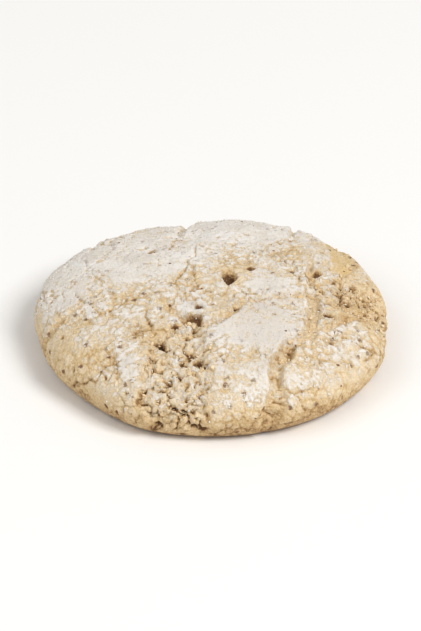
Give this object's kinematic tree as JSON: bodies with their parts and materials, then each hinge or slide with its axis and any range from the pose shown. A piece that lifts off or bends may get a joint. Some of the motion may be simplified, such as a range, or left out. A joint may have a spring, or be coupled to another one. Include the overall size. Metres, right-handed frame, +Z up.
{
  "type": "almond cookie",
  "caption": "Round, flat-domed baked almond cookie with a cracked white sugar crust over golden crumb.",
  "frame": {"origin": "middle of the cookie's bounding box on the plane of its flat baked foot", "axes": "+Z up through the crown, X and Y across the round; the wide open crumb band of the near side faces -Y"},
  "size_m": [0.0762, 0.0754, 0.0165],
  "materials": {
    "baked_dough": "matte baked almond dough, golden in its cracks and on its sides, under a broken crust of white powdered sugar"
  },
  "bodies": {
    "root": {"cookie": "baked_dough"}
  },
  "joints": []
}
